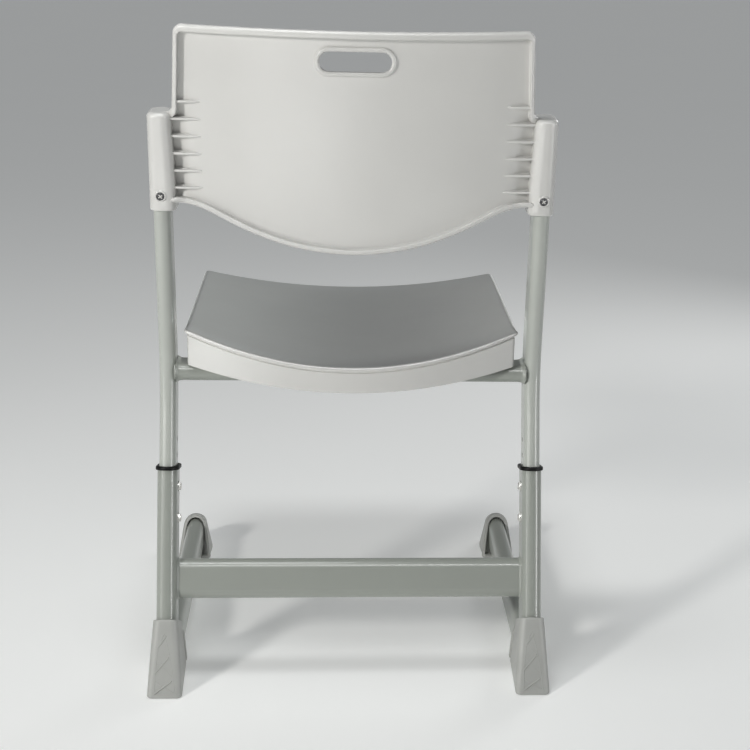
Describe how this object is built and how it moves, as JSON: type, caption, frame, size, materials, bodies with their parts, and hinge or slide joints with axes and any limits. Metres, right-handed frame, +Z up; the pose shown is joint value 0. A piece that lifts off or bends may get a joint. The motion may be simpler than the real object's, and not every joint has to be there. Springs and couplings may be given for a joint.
{
  "type": "student desk chair",
  "caption": "Height-adjustable school chair: moulded seat and backrest shells on a cantilever frame of telescoping flat-oval tubes.",
  "frame": {"origin": "on the floor, at the centre of the chair's overall footprint", "axes": "+Z up, +Y the way the sitter faces, +X to the sitter's right"},
  "size_m": [0.508, 0.522, 0.8121],
  "materials": {
    "frame_paint": "satin powder coat, grey",
    "shell_plastic": "satin injection-moulded polypropylene, light warm grey",
    "boot_plastic": "satin moulded plastic, mid grey",
    "black_plastic": "matte black nylon",
    "zinc": "zinc-plated steel",
    "dark_steel": "dark phosphated steel",
    "rubber_pad": "matte"
  },
  "bodies": {
    "base": {"left_foot_tube": "frame_paint", "left_outer_tube": "frame_paint", "left_collar": "black_plastic", "left_upper_lock_bolt": "zinc", "left_lower_lock_bolt": "zinc", "left_rear_boot": "boot_plastic", "left_rear_pad": "rubber_pad", "left_front_boot": "boot_plastic", "left_front_pad": "rubber_pad", "right_foot_tube": "frame_paint", "right_outer_tube": "frame_paint", "right_collar": "black_plastic", "right_upper_lock_bolt": "zinc", "right_lower_lock_bolt": "zinc", "right_rear_boot": "boot_plastic", "right_rear_pad": "rubber_pad", "right_front_boot": "boot_plastic", "right_front_pad": "rubber_pad", "stretcher_tube": "frame_paint"},
    "upper": {"left_inner_tube": "frame_paint", "left_glide_plug": "black_plastic", "left_seat_arm": "frame_paint", "left_backrest_screw": "dark_steel", "left_rear_seat_screw": "dark_steel", "left_front_seat_screw": "dark_steel", "right_inner_tube": "frame_paint", "right_glide_plug": "black_plastic", "right_seat_arm": "frame_paint", "right_backrest_screw": "dark_steel", "right_rear_seat_screw": "dark_steel", "right_front_seat_screw": "dark_steel", "seat_rear_rail": "frame_paint", "seat_front_rail": "frame_paint", "seat_shell": "shell_plastic", "backrest_shell": "shell_plastic"}
  },
  "joints": [
    {"name": "height_adjust", "type": "slide", "parent": "base", "child": "upper", "axis": [0, 0.3007, 0.9537], "range_m": [-0.04, 0.08]}
  ]
}
